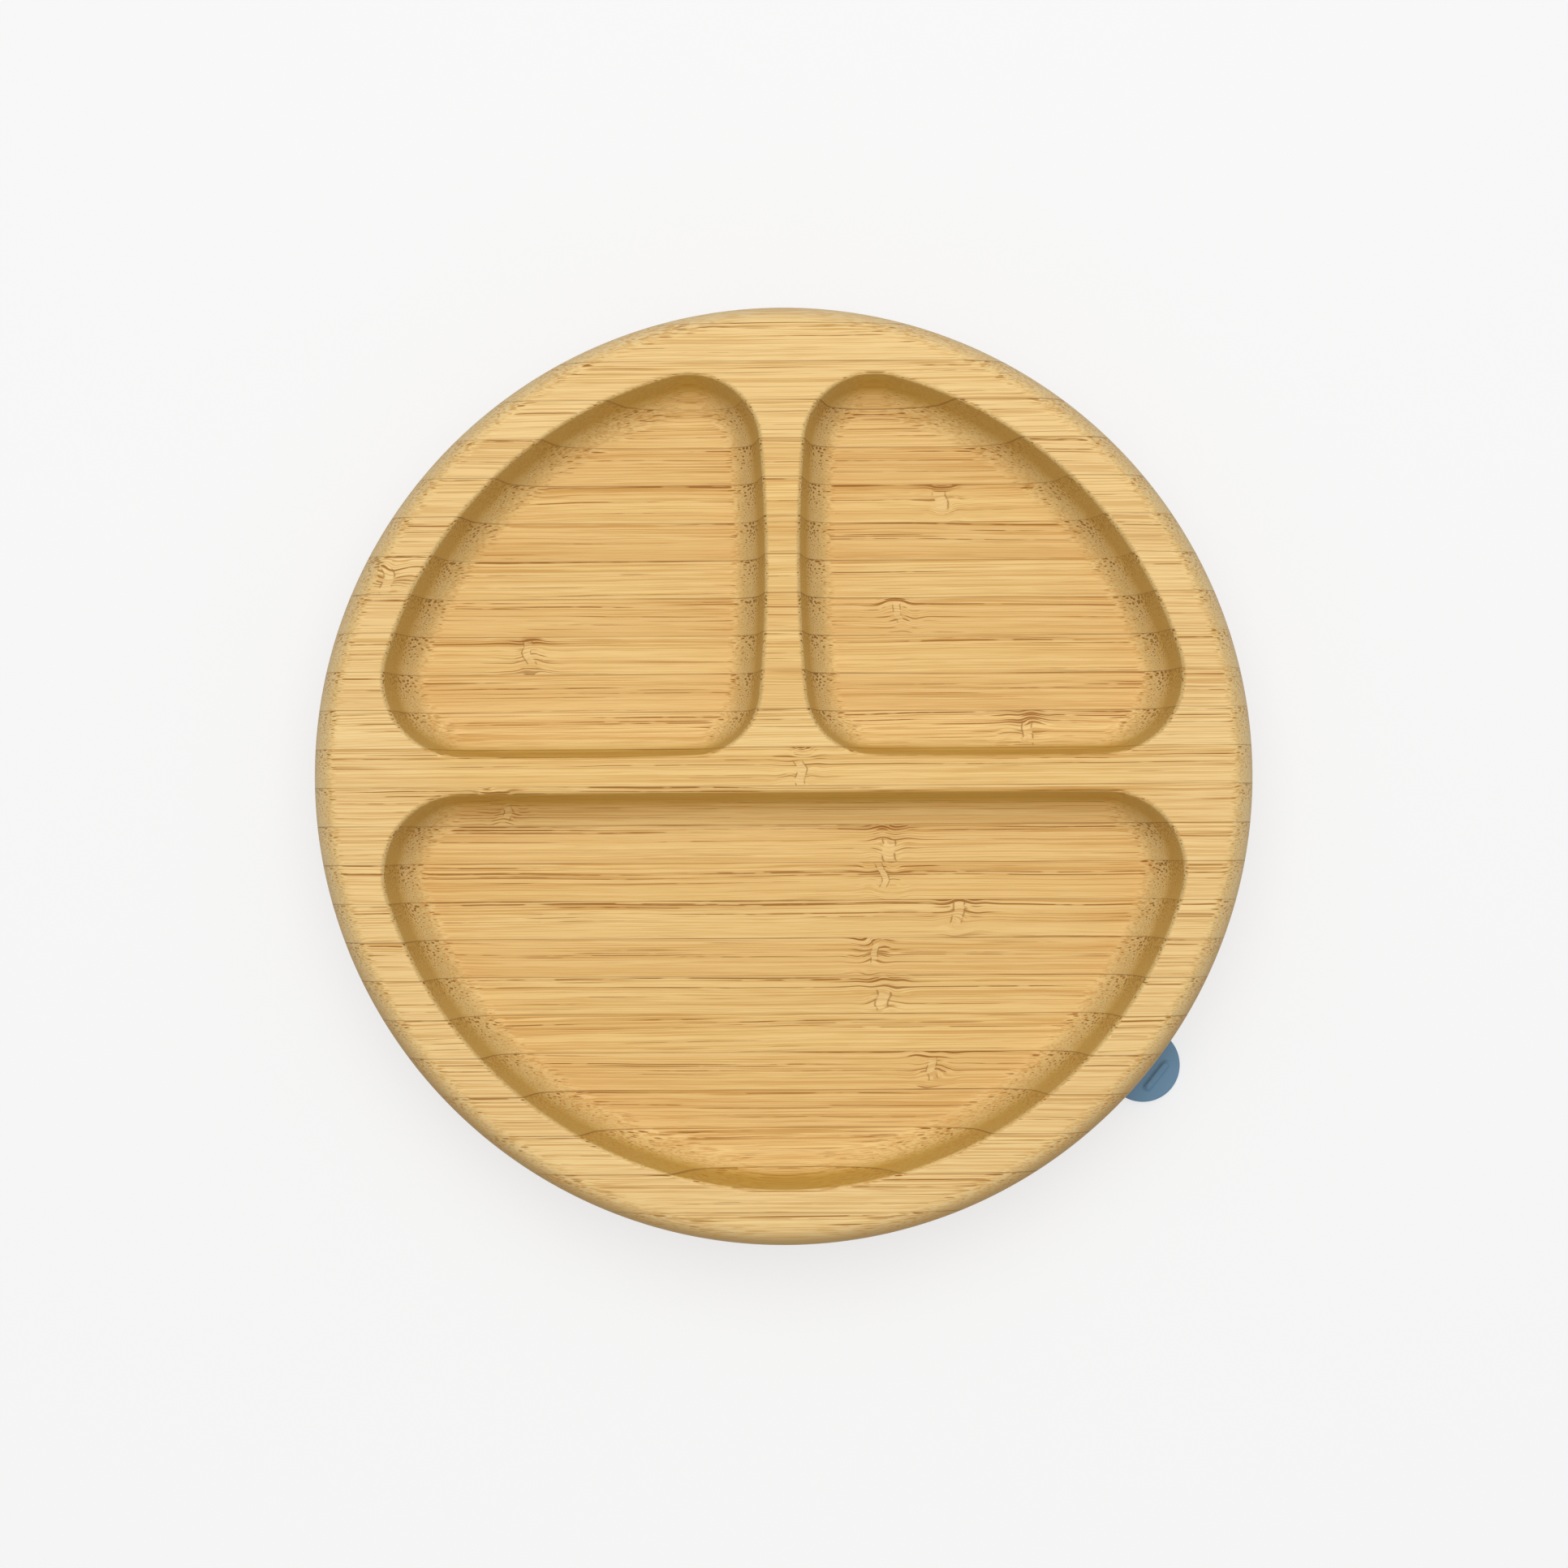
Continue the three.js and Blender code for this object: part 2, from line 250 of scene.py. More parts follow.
def pocket_outlines():
    """The two small pockets behind the cross divider, and the large one in front of it."""
    pocket_radius = PLATE_RADIUS - RIM_WIDTH
    divider_edge = CROSS_DIVIDER_WIDTH / 2
    centre_edge = CENTRE_DIVIDER_WIDTH / 2
    waist = (divider_edge + pocket_radius) / 2
    middle = (centre_edge + pocket_radius) / 2
    rim = (Vector((0, 0)), pocket_radius)
    inner = (Vector((centre_edge + SIDE_BOW_RADIUS, waist)), SIDE_BOW_RADIUS)
    lower = (Vector((middle, divider_edge + LOWER_SIDE_BOW_RADIUS)), LOWER_SIDE_BOW_RADIUS)
    across = (Vector((0, -divider_edge - STRAIGHT_SIDE_RADIUS)), STRAIGHT_SIDE_RADIUS)
    right = pocket_outline(
        [rim, inner, lower], [CROWN_CORNER_RADIUS, INNER_CORNER_RADIUS, OUTER_CORNER_RADIUS]
    )
    flip = Vector((-1, 1))
    left = [(point * flip, normal * flip) for point, normal in reversed(right)]
    front = pocket_outline([rim, across], [LARGE_CORNER_RADIUS, LARGE_CORNER_RADIUS])
    return [left, right, front]


def pocket_section():
    """Inset and height through a pocket, from the rim down to the floor."""
    floor = RIM_TOP - POCKET_DEPTH
    lip_base = RIM_TOP - LIP_ROUND_RADIUS
    wall_foot = floor + FLOOR_FILLET_RADIUS * (1 - math.sin(WALL_DRAFT))
    wall_run = (lip_base - wall_foot) * math.tan(WALL_DRAFT)
    fillet_inset = wall_run + FLOOR_FILLET_RADIUS * math.cos(WALL_DRAFT)
    section = [(-LIP_ROUND_RADIUS - SUPPORT, RIM_TOP)]
    section += arc(-LIP_ROUND_RADIUS, lip_base, LIP_ROUND_RADIUS, math.pi / 2, 0, LIP_STEPS)
    for i in range(1, WALL_STEPS):
        share = i / WALL_STEPS
        section.append((wall_run * share, lip_base + (wall_foot - lip_base) * share))
    section += arc(
        fillet_inset, floor + FLOOR_FILLET_RADIUS, FLOOR_FILLET_RADIUS,
        -math.pi + WALL_DRAFT, -math.pi / 2, FILLET_STEPS,
    )
    section.append((fillet_inset + SUPPORT, floor))
    return section


def circle(radius, height, segments):
    turns = [2 * math.pi * i / segments for i in range(segments)]
    return [(radius * math.cos(turn), radius * math.sin(turn), height) for turn in turns]


def bridge(mesh, first, second):
    """Quads between two closed rings of equal count."""
    for i in range(len(first)):
        j = (i + 1) % len(first)
        mesh.faces.new((first[i], first[j], second[j], second[i]))


def bridged(mesh, rings):
    """Puts the rings of points into the mesh, joins each to the next, and returns the first and the last."""
    rows = [[mesh.verts.new(point) for point in points] for points in rings]
    for first, second in zip(rows, rows[1:]):
        bridge(mesh, first, second)
    return rows[0], rows[-1]


def loop_edges(mesh, verts):
    return [mesh.edges.get((verts[i - 1], verts[i])) for i in range(len(verts))]


def board_mesh():
    """The whole board, before it is parted into laths."""
    mesh = bmesh.new()
    groove_inner = GROOVE_RADIUS - GROOVE_WIDTH / 2
    groove_outer = GROOVE_RADIUS + GROOVE_WIDTH / 2
    groove_top = UNDERSIDE + GROOVE_DEPTH
    bottom_flat = PLATE_RADIUS - BOTTOM_EDGE_RADIUS
    top_flat = PLATE_RADIUS - TOP_EDGE_RADIUS
    profile = [
        (groove_inner - SUPPORT, UNDERSIDE),
        (groove_inner, UNDERSIDE),
        (groove_inner, groove_top),
        (groove_outer, groove_top),
        (groove_outer, UNDERSIDE),
        (bottom_flat - SUPPORT, UNDERSIDE),
    ]
    profile += arc(
        bottom_flat, UNDERSIDE + BOTTOM_EDGE_RADIUS, BOTTOM_EDGE_RADIUS, -math.pi / 2, 0, EDGE_STEPS
    )
    profile += arc(top_flat, RIM_TOP - TOP_EDGE_RADIUS, TOP_EDGE_RADIUS, 0, math.pi / 2, EDGE_STEPS)
    profile.append((top_flat - SUPPORT, RIM_TOP))
    under, rim = bridged(mesh, [circle(radius, height, RIM_SEGMENTS) for radius, height in profile])
    mesh.faces.new(under)
    lips = []
    for outline in pocket_outlines():
        rings = [
            [(*(point - normal * inset), height) for point, normal in outline]
            for inset, height in pocket_section()
        ]
        lip, floor = bridged(mesh, rings)
        mesh.faces.new(floor)
        lips.append(lip)
    edges = [edge for loop in [rim, *lips] for edge in loop_edges(mesh, loop)]
    bmesh.ops.triangle_fill(mesh, edges=edges, use_beauty=True, use_dissolve=False)
    bmesh.ops.recalc_face_normals(mesh, faces=mesh.faces)
    return mesh


def finished(mesh, name, material):
    """Turns a bmesh into an object with smooth faces and its sharp edges marked."""
    bmesh.ops.recalc_face_normals(mesh, faces=mesh.faces)
    for face in mesh.faces:
        face.smooth = True
    for edge in mesh.edges:
        edge.smooth = edge.calc_face_angle(0) < SHARP_ANGLE
    data = bpy.data.meshes.new(name)
    mesh.to_mesh(data)
    mesh.free()
    data.materials.append(material)
    piece = bpy.data.objects.new(name, data)
    bpy.context.scene.collection.objects.link(piece)
    return piece


def lath_mesh(board, low, high):
    """The part of the board between two glue planes, closed on both of them."""
    lath = board.copy()
    strays = [face for face in lath.faces if not low < face.calc_center_median().y < high]
    bmesh.ops.delete(lath, geom=strays, context="FACES")
    for plane in (low, high):
        cut = [
            edge for edge in lath.edges
            if edge.is_boundary and all(abs(vert.co.y - plane) < SAME_PLACE for vert in edge.verts)
        ]
        if cut:
            bmesh.ops.contextual_create(lath, geom=cut)
    return lath


def build_laths(material):
    board = board_mesh()
    for line in GLUE_LINES:
        geometry = board.verts[:] + board.edges[:] + board.faces[:]
        bmesh.ops.bisect_plane(
            board, geom=geometry, dist=CUT_TOLERANCE, plane_co=(0, line, 0), plane_no=(0, 1, 0)
        )
    planes = [-2 * PLATE_RADIUS, *GLUE_LINES, 2 * PLATE_RADIUS]
    for i, node in enumerate(LATH_NODES):
        lath = finished(lath_mesh(board, planes[i], planes[i + 1]), f"lath_{i + 1:02d}", material)
        knuckle = lath.data.attributes.new("knuckle", "FLOAT", "POINT")
        place = KNUCKLES.get(i + 1, NO_KNUCKLE)
        knuckle.data.foreach_set("value", [place] * len(lath.data.vertices))
        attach(lath, "plate")
        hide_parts(node)
    board.free()


def turned(profile, name, material):
    """A closed profile of radius and height turned about Z."""
    mesh = bmesh.new()
    first, last = bridged(mesh, [circle(radius, height, RING_SEGMENTS) for radius, height in profile])
    bridge(mesh, last, first)
    return finished(mesh, name, material)


def rounded(corners):
    """A closed polygon of (x, y, radius of the round) as points."""
    points = []
    for i, (x, y, radius) in enumerate(corners):
        if radius == 0:
            points.append((x, y))
            continue
        here = Vector((x, y))
        before = (Vector(corners[i - 1][:2]) - here).normalized()
        after = (Vector(corners[(i + 1) % len(corners)][:2]) - here).normalized()
        half = before.angle(after) / 2
        middle = here + (before + after).normalized() * radius / math.sin(half)
        start = here + before * radius / math.tan(half) - middle
        end = here + after * radius / math.tan(half) - middle
        first = math.atan2(start.y, start.x)
        turn = (math.atan2(end.y, end.x) - first + math.pi) % (2 * math.pi) - math.pi
        points += arc(middle.x, middle.y, radius, first, first + turn, RING_ROUND_STEPS)
    return points


def build_collar(material):
    flange_top = COLLAR_LOW.z + FLANGE_THICKNESS
    flange_inner = GROOVE_RADIUS - GROOVE_WIDTH / 2 - FLANGE_INSIDE
    rib_inner = GROOVE_RADIUS - GROOVE_WIDTH / 2 + SEAT_GAP
    rib_outer = GROOVE_RADIUS + GROOVE_WIDTH / 2 - SEAT_GAP
    collar = turned(rounded([
        (flange_inner, COLLAR_LOW.z, RING_EDGE_ROUND),
        (COLLAR_HIGH.x, COLLAR_LOW.z, RING_EDGE_ROUND),
        (COLLAR_HIGH.x, flange_top, RING_EDGE_ROUND),
        (rib_outer, flange_top, 0),
        (rib_outer, COLLAR_HIGH.z, RIB_EDGE_ROUND),
        (rib_inner, COLLAR_HIGH.z, RIB_EDGE_ROUND),
        (rib_inner, flange_top, 0),
        (flange_inner, flange_top, RING_EDGE_ROUND),
    ]), "ring_collar", material)
    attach(collar, "suction_collar")
    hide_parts("suction_collar")


def flare(start, end):
    """A curve of radius and height that leaves start straight down and reaches end level."""
    points = []
    for i in range(SKIRT_FLARE_STEPS + 1):
        t = i / SKIRT_FLARE_STEPS
        radius = (1 - t * t) * start[0] + t * t * end[0]
        height = (1 - t) ** 2 * start[1] + (1 - (1 - t) ** 2) * end[1]
        points.append((radius, height))
    return points


def build_skirt(material):
    top = SKIRT_HIGH.z
    outer = COLLAR_HIGH.x
    inner = outer - SKIRT_WALL
    flat = SKIRT_HIGH.x - LIP_FLAT_WIDTH
    lip_round = LIP_THICKNESS / 2
    lip = SKIRT_HIGH.x - lip_round
    profile = flare((outer, top), (lip, LIP_THICKNESS))
    profile += arc(lip, lip_round, lip_round, math.pi / 2, -math.pi / 2, SKIRT_LIP_STEPS)[1:]
    profile += reversed(flare((inner, top), (flat, SKIRT_LOW.z)))
    skirt = turned(profile, "ring_skirt", material)
    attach(skirt, "suction_skirt")
    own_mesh(skirt)
    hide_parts("suction_skirt")


def tab_outline():
    """One side of the tab, from root to tip, as distance out, half width and the way that it faces."""
    root = SKIRT_HIGH.x - TAB_OVERLAP
    tip = PLATE_RADIUS + TAB_OVERHANG
    half = TAB_WIDTH / 2
    sideways = math.pi / 2
    stations = [(root, half + TAB_ROOT_FLARE, sideways)]
    for i in range(TAB_ROOT_STEPS + 1):
        turn = math.pi / 2 * i / TAB_ROOT_STEPS
        spread = TAB_ROOT_FLARE * (1 - math.sin(turn))
        reach = TAB_OVERLAP + TAB_ROOT_FLARE * (1 - math.cos(turn))
        stations.append((root + reach, half + spread, sideways))
    start = stations[-1][0]
    for i in range(1, TAB_SIDE_STEPS + 1):
        stations.append((start + (tip - half - start) * i / TAB_SIDE_STEPS, half, sideways))
    for i in range(1, TAB_TIP_STEPS + 1):
        turn = math.pi / 2 * (1 - i / TAB_TIP_STEPS)
        stations.append((tip - half + half * math.cos(turn), half * math.sin(turn), turn))
    return stations


def rib_rise(out, across, rib_height):
    """How far the grip rib stands above the tab at a point."""
    centre = PLATE_RADIUS + TAB_OVERHANG - RIB_FROM_TIP
    past_end = max(0, abs(across) - (RIB_LENGTH - RIB_WIDTH) / 2)
    away = math.hypot(out - centre, past_end) / (RIB_WIDTH / 2)
    flank = min(1, max(0, (1 - away) / RIB_FLANK))
    return rib_height * flank * flank * (3 - 2 * flank)


def tab_edge(out, half, facing):
    """Rounded edge of the tab at a station, as distance out, half width and rise, up to its flat face."""
    edge = []
    for i in range(TAB_EDGE_STEPS + 1):
        turn = math.pi / 2 * i / TAB_EDGE_STEPS
        inset = TAB_EDGE_ROUND * (1 - math.cos(turn))
        rise = TAB_EDGE_ROUND * math.sin(turn)
        edge.append((out - inset * math.cos(facing), max(0, half - inset * math.sin(facing)), rise))
    return edge


def build_tab(material):
    bottom = TAB_LOW.z
    top = bottom + TAB_THICKNESS
    low = bottom + TAB_EDGE_ROUND
    high = top - TAB_EDGE_ROUND
    rib_height = TAB_HIGH.z - top
    side = Vector((-TAB_WAY.y, TAB_WAY.x, 0))

    def place(out, across, height):
        return TAB_WAY * out + side * across + Vector((0, 0, height))

    rows = []
    for out, half, facing in tab_outline():
        edge = tab_edge(out, half, facing)
        flat_out, flat_half, _ = edge[-1]
        loop = [place(u, w, high + rise) for u, w, rise in edge]
        for i in range(1, TAB_COLUMNS):
            across = flat_half * (1 - 2 * i / TAB_COLUMNS)
            loop.append(place(flat_out, across, top + rib_rise(flat_out, across, rib_height)))
        loop += [place(u, -w, high + rise) for u, w, rise in reversed(edge)]
        loop += [place(u, -w, low - rise) for u, w, rise in edge]
        for i in range(1, TAB_COLUMNS):
            loop.append(place(flat_out, flat_half * (2 * i / TAB_COLUMNS - 1), bottom))
        loop += [place(u, w, low - rise) for u, w, rise in reversed(edge)]
        rows.append(loop)
    mesh = bmesh.new()
    root = bridged(mesh, rows)[0]
    mesh.faces.new(root)
    bmesh.ops.remove_doubles(mesh, verts=mesh.verts, dist=SAME_PLACE)
    bmesh.ops.dissolve_degenerate(mesh, edges=mesh.edges, dist=SAME_PLACE)
    tab = finished(mesh, "ring_tab", material)
    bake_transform(tab)
    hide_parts("pull_tab")


class Shader:
    """Nodes of a material or world, added by short calls.

    A value is a number, a vector, a colour or another node's output.
    """

    def __init__(self, owner):
        owner.use_nodes = True
        self.owner = owner
        self.tree = owner.node_tree

    @property
    def surface(self):
        return self.tree.nodes["Principled BSDF"].inputs

    def put(self, socket, value):
        if isinstance(value, bpy.types.NodeSocket):
            self.tree.links.new(value, socket)
        else:
            socket.default_value = value

    def node(self, kind, values, output=0, **settings):
        node = self.tree.nodes.new(kind)
        for key, value in settings.items():
            setattr(node, key, value)
        for key, value in values.items():
            self.put(node.inputs[key], value)
        return node.outputs[output]

    def math(self, operation, *values):
        return self.node("ShaderNodeMath", dict(enumerate(values)), operation=operation)

    def scaled(self, value, factor, offset=0.0):
        return self.math("MULTIPLY_ADD", value, factor, offset)

    def less(self, value, share):
        """1, less that share of the value."""
        return self.scaled(value, -share, 1.0)

    def total(self, first, *others):
        for other in others:
            first = self.math("ADD", first, other)
        return first

    def product(self, first, *others):
        for other in others:
            first = self.math("MULTIPLY", first, other)
        return first

    def smooth(self, value, start, end):
        """0 at start and 1 at end, with a soft run between."""
        values = {"Value": value, "From Min": start, "From Max": end}
        return self.node("ShaderNodeMapRange", values, interpolation_type="SMOOTHSTEP")

    def bell(self, value, width):
        """1 where value is 0, falling to both sides within about that width."""
        square = self.math("POWER", self.math("ABSOLUTE", self.scaled(value, 1 / width)), 2.0)
        return self.math("EXPONENT", self.scaled(square, -1.0))

    def chance(self, number, factor=1.0, offset=0.0):
        """A chance value from 0 to 1 for each number. Factor and offset give another draw."""
        seed = self.scaled(number, factor, offset)
        return self.node("ShaderNodeTexWhiteNoise", {"W": seed}, noise_dimensions="1D")

    def noise(self, vector, scale=1.0, detail=2.0):
        return self.node("ShaderNodeTexNoise", {"Vector": vector, "Scale": scale, "Detail": detail})

    def stretched(self, x, y, z, length, width, depth):
        """A place counted in cells of that length, width and depth."""
        cells = {"X": (x, length), "Y": (y, width), "Z": (z, depth)}
        values = {axis: self.scaled(place, 1 / size) for axis, (place, size) in cells.items()}
        return self.node("ShaderNodeCombineXYZ", values)

    def parts(self, vector):
        return self.node("ShaderNodeSeparateXYZ", {"Vector": vector}).node.outputs

    def cells(self, vector):
        """Distance from the middle of a flat cell, and a chance value that each cell has to itself."""
        values = {"Vector": vector, "Scale": 1.0}
        distance = self.node("ShaderNodeTexVoronoi", values, voronoi_dimensions="2D")
        return distance, self.parts(distance.node.outputs["Color"])["X"]

    def mix(self, share, first, second):
        """A blend of two colours. The Mix node repeats names, so its colour sockets go by their number."""
        return self.node("ShaderNodeMix", {0: share, 6: first, 7: second}, output=2, data_type="RGBA")

    def tinted(self, colour, where, strength, tint):
        return self.mix(self.scaled(where, strength), colour, tint)

    def mix_shaders(self, share, first, second):
        return self.node("ShaderNodeMixShader", {0: share, 1: first, 2: second})

    def seen(self):
        """1 for rays that show this to the camera, straight or by a reflection, and 0 for rays of light."""
        path = self.tree.nodes.new("ShaderNodeLightPath").outputs
        shown = self.math("MAXIMUM", path["Is Camera Ray"], path["Is Glossy Ray"])
        return self.math("MAXIMUM", shown, path["Is Transmission Ray"])


class Bamboo(Shader):
    """Bamboo laths on edge: fibre bundles along X, densest on the +Y side of each lath. Sizes are in mm."""

    def __init__(self):
        super().__init__(bpy.data.materials.new("bamboo_laths"))
        self.find_place()
        self.find_kind_of_surface()
        self.make_knuckles()
        self.run_fibres()
        self.make_bundles()
        self.make_glue_lines()
        self.put(self.surface["Base Color"], self.marked(self.painted_edge_light(self.ground())))
        self.make_finish()

    def find_place(self):
        """Where a point is on the plate, which lath it is on, and how far across it from front to back."""
        position = self.node("ShaderNodeTexCoord", {}, output="Object")
        in_mm = self.node("ShaderNodeVectorMath", {"Vector": position, "Scale": 1 / MM}, operation="SCALE")
        self.x, self.y, self.z = self.parts(in_mm)
        squares = self.total(self.math("POWER", self.x, 2.0), self.math("POWER", self.y, 2.0))
        self.radius = self.math("SQRT", squares)
        laths = self.scaled(self.y, MM / LATH_WIDTH, -GLUE_LINES[0] / LATH_WIDTH)
        self.number = self.math("FLOOR", laths)
        self.across = self.math("FRACT", laths)
        self.dense = self.math("POWER", self.across, 1.3)
        self.tone = self.chance(self.number)
        self.tint = self.chance(self.number, 3.7, 11.0)

    def find_kind_of_surface(self):
        """End grain, the outer edge and the steep walls of the pockets."""
        normal = self.node("ShaderNodeTexCoord", {}, output="Normal")
        facing_x, self.facing_y, self.facing_z = self.parts(normal)
        self.sideways = self.math("ABSOLUTE", facing_x)
        self.end_grain = self.smooth(self.sideways, 0.30, 0.9)
        outside = PLATE_RADIUS / MM
        self.outer_edge = self.smooth(self.radius, outside - 4.0, outside)
        within = self.smooth(self.radius, outside - 4.0, outside - 10.0)
        self.steep = self.product(self.smooth(self.facing_z, 0.8, 0.2), within)

    def make_knuckles(self):
        """A pale bar between dark dashes, part of the way across a lath, and fibres that wave around it."""
        place = self.node(
            "ShaderNodeAttribute", {}, output="Fac", attribute_type="GEOMETRY", attribute_name="knuckle"
        )
        waver = self.noise(self.stretched(self.number, self.y, self.z, 0.37, 4.0, 5.0), detail=1.0)
        along = self.total(self.x, self.scaled(place, -1 / MM), self.scaled(waver, 3.6, -1.8))
        self.near = self.bell(along, 4.5)
        swirl = self.noise(self.stretched(self.x, self.y, self.z, 4.5, 3.0, 4.0), detail=0.0)
        self.swirl = self.product(self.near, self.scaled(swirl, 3.0, -1.5))
        middle = self.scaled(self.chance(self.number, 1.9, 5.0), 0.4, 0.3)
        off_middle = self.math("ABSOLUTE", self.math("SUBTRACT", self.across, middle))
        narrowing = self.scaled(self.chance(self.number, 2.3, 8.0), 1.0, 0.8)
        off_centre = self.product(self.math("ABSOLUTE", along), narrowing)
        level = self.smooth(self.math("ABSOLUTE", self.facing_z), 0.4, 0.8)
        length = self.smooth(off_middle, 0.27, 0.20)
        self.bar = self.product(length, self.smooth(off_centre, 1.2, 0.8), level)
        sides = self.bell(self.scaled(off_centre, 1.0, -1.05), 0.17)
        ends = self.smooth(off_middle, 0.36, 0.28)
        broken = self.noise(self.stretched(self.x, self.y, self.z, 1.6, 1.2, 2.0), detail=0.0)
        self.dashes = self.product(sides, ends, self.smooth(broken, 0.42, 0.58), level)

    def run_fibres(self):
        """Fibres wander a little along their length, lean with their lath and swirl at a knuckle."""
        wander_y = self.noise(self.stretched(self.x, self.number, self.z, 70.0, 0.19, 60.0))
        wander_z = self.noise(self.stretched(self.x, self.number, self.y, 60.0, 0.13, 1.1))
        ripple = self.noise(self.stretched(self.x, self.y, self.z, 14.0, 3.5, 3.5))
        lean = self.product(self.scaled(self.tone, 0.016, -0.008), self.x)
        drift = self.total(self.scaled(wander_y, 1.4), self.scaled(ripple, 0.35))
        self.grain_y = self.total(self.y, lean, self.swirl, drift)
        self.grain_z = self.total(self.z, self.scaled(wander_z, 1.1), self.scaled(self.tint, 30.0))

    def along_grain(self, length, width, detail=1.0):
        """Noise that is drawn out along the fibres."""
        place = self.stretched(self.x, self.grain_y, self.grain_z, length, width, width)
        return self.noise(place, detail=detail)

    def make_bundles(self):
        """Bundles are round rods along the lath, which show as lines along it and as dots across it."""
        pitch = 0.62
        apart = self.total(self.grain_y, self.scaled(self.number, 12.4))
        from_middle, own = self.cells(self.stretched(apart, self.grain_z, 0.0, pitch, pitch, 1.0))
        size = self.total(self.scaled(self.dense, 0.20, 0.10), self.scaled(self.near, 0.12))
        size = self.total(size, self.product(self.end_grain, self.scaled(self.dense, 0.17, 0.05)))
        rod = self.smooth(from_middle, size, self.scaled(size, 0.6))
        rim = self.bell(self.math("SUBTRACT", from_middle, self.scaled(size, 1.0, 0.14)), 0.10)
        sanded = self.math("MAXIMUM", self.steep, self.outer_edge)
        self.rim = self.product(rim, self.end_grain, self.less(sanded, 0.8))
        fade = self.noise(self.stretched(self.x, own, self.number, 34.0, 0.02, 0.3), detail=1.0)
        fade = self.total(fade, self.scaled(self.near, 0.15))
        gaps = self.noise(self.stretched(self.x, own, self.number, 6.0, 0.013, 0.2), detail=1.0)
        gaps = self.total(gaps, self.scaled(self.near, 0.2), self.scaled(self.end_grain, 0.5))
        self.rod = self.product(
            rod,
            self.smooth(fade, 0.30, 0.55),
            self.scaled(self.smooth(gaps, 0.36, 0.48), 0.7, 0.3),
            self.scaled(self.dense, 0.35, 0.65),
            self.less(self.outer_edge, 0.7),
            self.less(self.steep, 0.45),
            self.less(self.bar, 0.9),
        )

    def make_glue_lines(self):
        """Thin lines where laths meet, stronger in some places than in others."""
        to_edge = self.math("MINIMUM", self.across, self.math("SUBTRACT", 1.0, self.across))
        patches = self.noise(self.stretched(self.x, self.number, 0.0, 35.0, 0.11, 1.0))
        self.glue = self.product(self.smooth(to_edge, 0.020, 0.006), self.smooth(patches, 0.25, 0.65))

    def ground(self):
        """Colour of the wood under its marks: paler on the rim, darkened on the steep pocket walls as
        painted shade, greyer on end grain.
        """
        colour = self.mix(self.tint, GROUND_WARM, GROUND_PALE)
        colour = self.mix(self.smooth(self.tone, 0.3, 1.0), colour, GROUND_TAN)
        bands = self.along_grain(140.0, 1.6, detail=2.0)
        colour = self.tinted(colour, self.smooth(bands, 0.42, 0.70), 0.5, GROUND_BAND)
        top = RIM_TOP / MM
        outside = PLATE_RADIUS / MM
        high_up = self.smooth(self.z, top - 5.5, top - 0.5)
        on_rim = self.product(high_up, self.smooth(self.radius, outside - 35.0, outside - 8.0))
        colour = self.tinted(colour, on_rim, 0.45, RIM_PALE)
        # Painted shade: the steep walls of the pockets are darkened to olive brown, standing in for the
        # shade that falls in them.
        colour = self.tinted(colour, self.steep, 0.75, WALL_PAINTED_SHADE)
        end_zone = self.smooth(self.sideways, 0.05, 0.6)
        on_edge = self.scaled(self.outer_edge, -0.4, 0.7)
        end_tint = self.product(end_zone, on_edge, self.less(self.steep, 0.4))
        return self.mix(end_tint, colour, END_GRAIN_GREY)

    def painted_edge_light(self, colour):
        """The upper part of the outer edge, with a painted grey sheen at the back and sides and painted
        shade at the front.
        """
        upper_edge = self.product(self.outer_edge, self.smooth(self.facing_z, 0.0, 0.35))
        painted_sheen = self.product(upper_edge, self.smooth(self.facing_y, -0.9, 0.0))
        # Painted sheen: this grey stands in for the reflection of the bright room on the edge at the back
        # and sides.
        colour = self.tinted(colour, painted_sheen, 0.55, EDGE_SHEEN_GREY)
        painted_shade = self.product(upper_edge, self.smooth(self.facing_y, -0.1, -0.6))
        # Painted shade: the front of the edge is darkened, standing in for the shade that falls there.
        return self.tinted(colour, painted_shade, 0.85, FRONT_EDGE_SHADE)

    def marked(self, colour):
        """Knuckles, fibres, bundles and glue lines, one over the other."""
        fibres = self.smooth(self.along_grain(9.0, 0.17), 0.45, 0.70)
        streaks = self.smooth(self.along_grain(110.0, 0.24), 0.48, 0.62)
        streaks = self.product(streaks, self.scaled(self.dense, 0.5, 0.5))
        bundle = self.mix(self.end_grain, BUNDLE_ALONG, BUNDLE_ACROSS)
        marks = [
            (self.bar, 0.4, KNUCKLE_BAR),
            (fibres, 0.3, FIBRE),
            (streaks, 0.7, STREAK),
            (self.rim, 0.4, BUNDLE_RIM),
            (self.rod, 1.0, bundle),
            (self.dashes, 0.8, KNUCKLE_DASH),
            (self.glue, 0.7, GLUE),
        ]
        for where, strength, tint in marks:
            colour = self.tinted(colour, where, strength, tint)
        return colour

    def make_finish(self):
        """A satin surface with the marks slightly sunk."""
        sanding = self.noise(self.stretched(self.x, self.y, self.z, 2.5, 0.25, 0.25), detail=3.0)
        sunk = self.total(self.rod, self.dashes, self.glue)
        height = self.math("SUBTRACT", self.scaled(sanding, 0.5), sunk)
        bump = self.node("ShaderNodeBump", {"Strength": 0.5, "Distance": 0.08 * MM, "Height": height})
        self.put(self.surface["Specular IOR Level"], 0.2)
        self.put(self.surface["Roughness"], self.scaled(sanding, 0.2, 0.45))
        self.put(self.surface["Normal"], bump)


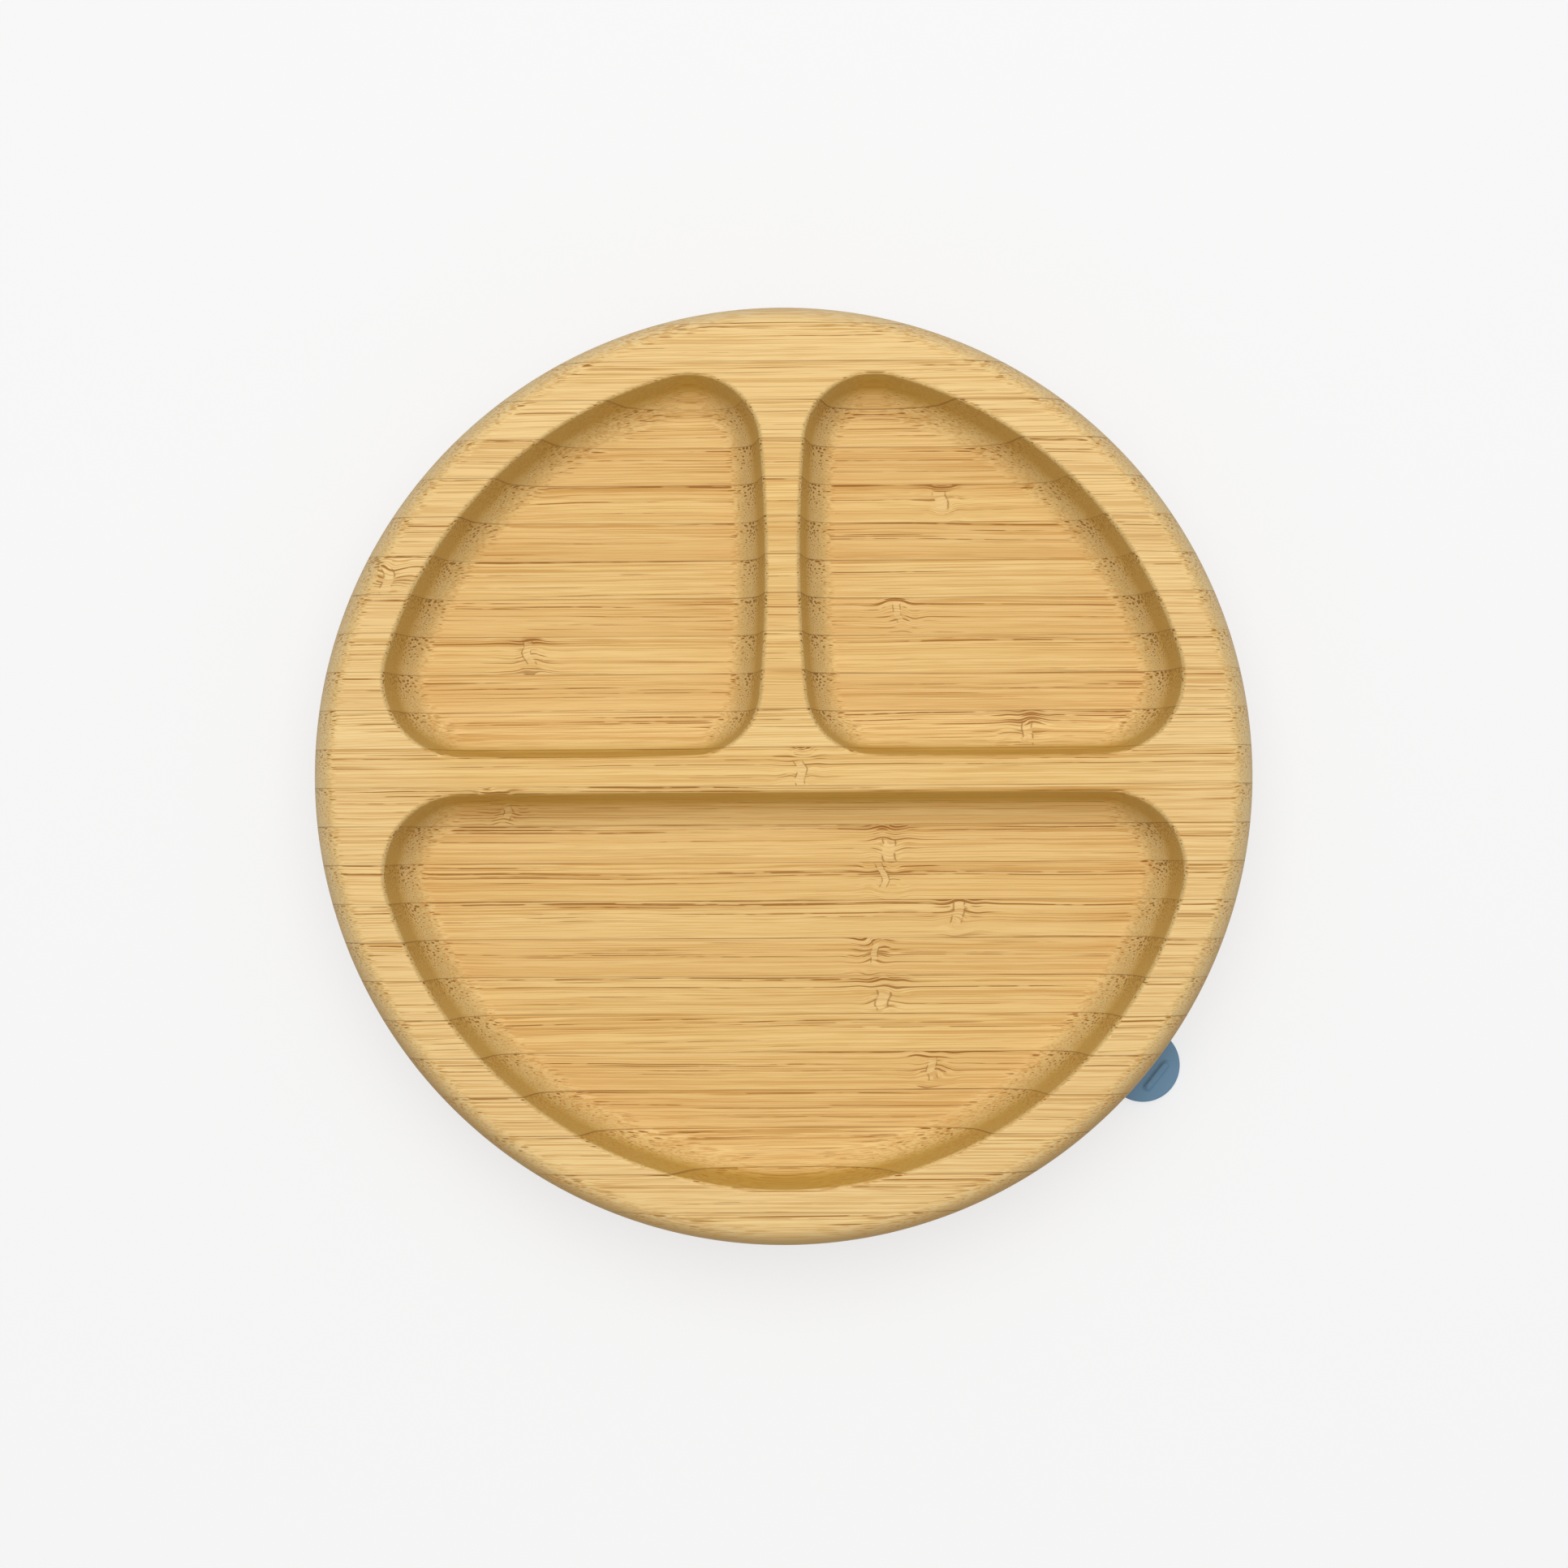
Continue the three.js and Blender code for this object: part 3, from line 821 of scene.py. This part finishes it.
def silicone():
    """Matt blue-grey silicone with a fine moulded texture."""
    shader = Shader(bpy.data.materials.new("matt_silicone"))
    position = shader.node("ShaderNodeTexCoord", {}, output="Object")
    clouds = shader.noise(position, scale=70.0, detail=3.0)
    grain = shader.noise(position, scale=5000.0, detail=2.0)
    colour = shader.mix(clouds, SILICONE_DEEP, SILICONE_LIGHT)
    colour = shader.tinted(colour, shader.smooth(grain, 0.35, 0.75), 0.12, SILICONE_SPECK)
    bump = shader.node("ShaderNodeBump", {"Strength": 0.2, "Distance": 0.05 * MM, "Height": grain})
    shader.put(shader.surface["Base Color"], colour)
    shader.put(shader.surface["Specular IOR Level"], 0.25)
    shader.put(shader.surface["Roughness"], shader.scaled(grain, 0.16, 0.50))
    shader.put(shader.surface["Normal"], bump)
    return shader.owner


def pale_floor():
    """To the camera an even pale tone with a soft shadow near the plate, and to rays of light plain grey."""
    shader = Shader(bpy.data.materials.new("pale_floor"))
    shader.put(shader.surface["Base Color"], STAGE_PALE)
    shader.put(shader.surface["Roughness"], 0.9)
    shader.put(shader.surface["Specular IOR Level"], 0.0)
    lit = shader.tree.nodes["Principled BSDF"].outputs["BSDF"]
    even = shader.node("ShaderNodeEmission", {"Color": STAGE_PALE, "Strength": 1.0})
    matt = shader.node("ShaderNodeBsdfDiffuse", {"Color": FLOOR_BOUNCE})
    place = shader.node("ShaderNodeTexCoord", {}, output="Object")
    away = shader.node("ShaderNodeVectorMath", {"Vector": place}, output="Value", operation="LENGTH")
    far = shader.smooth(away, SHADOW_END, EVEN_START)
    shown = shader.mix_shaders(shader.scaled(far, 1 - EVEN_SHARE_NEAR, EVEN_SHARE_NEAR), lit, even)
    look = shader.mix_shaders(shader.seen(), matt, shown)
    shader.put(shader.tree.nodes["Material Output"].inputs["Surface"], look)
    return shader.owner


def build_floor():
    mesh = bmesh.new()
    bmesh.ops.create_grid(mesh, x_segments=1, y_segments=1, size=FLOOR_SIZE)
    floor = finished(mesh, "floor", pale_floor())
    floor.location.z = -FLOOR_DROP


def build_light(scene):
    """A room that lights the plate from all sides and looks as pale as the floor, and a softbox above it."""
    room = Shader(bpy.data.worlds.new("soft_room"))
    light = room.node("ShaderNodeBackground", {"Color": WHITE, "Strength": ROOM_LIGHT})
    backdrop = room.node("ShaderNodeBackground", {"Color": STAGE_PALE, "Strength": 1.0})
    look = room.mix_shaders(room.seen(), light, backdrop)
    room.put(room.tree.nodes["World Output"].inputs["Surface"], look)
    scene.world = room.owner
    softbox = bpy.data.lights.new("overhead_softbox", "AREA")
    softbox.size = SOFTBOX_SIZE
    softbox.energy = SOFTBOX_POWER
    lamp = bpy.data.objects.new("overhead_softbox", softbox)
    lamp.location = SOFTBOX_PLACE
    lamp.rotation_euler = (-math.atan2(SOFTBOX_PLACE.y, SOFTBOX_PLACE.z), 0, 0)
    scene.collection.objects.link(lamp)


def build_camera(scene):
    """A camera almost straight above the plate, as in the photograph."""
    camera = bpy.data.cameras.new("camera")
    camera.sensor_width = CAMERA_SENSOR
    camera.lens = CAMERA_LENS
    camera.clip_start = CAMERA_CLIP
    eye = bpy.data.objects.new("camera", camera)
    eye.location = CAMERA_PLACE
    eye.rotation_euler = (CAMERA_TILT, 0, CAMERA_ROLL)
    scene.collection.objects.link(eye)
    scene.camera = eye


bpy.context.scene.view_settings.view_transform = "Standard"
build_floor()
build_light(bpy.context.scene)
build_camera(bpy.context.scene)
bamboo_material = Bamboo().owner
silicone_material = silicone()
build_laths(bamboo_material)
build_collar(silicone_material)
build_skirt(silicone_material)
build_tab(silicone_material)
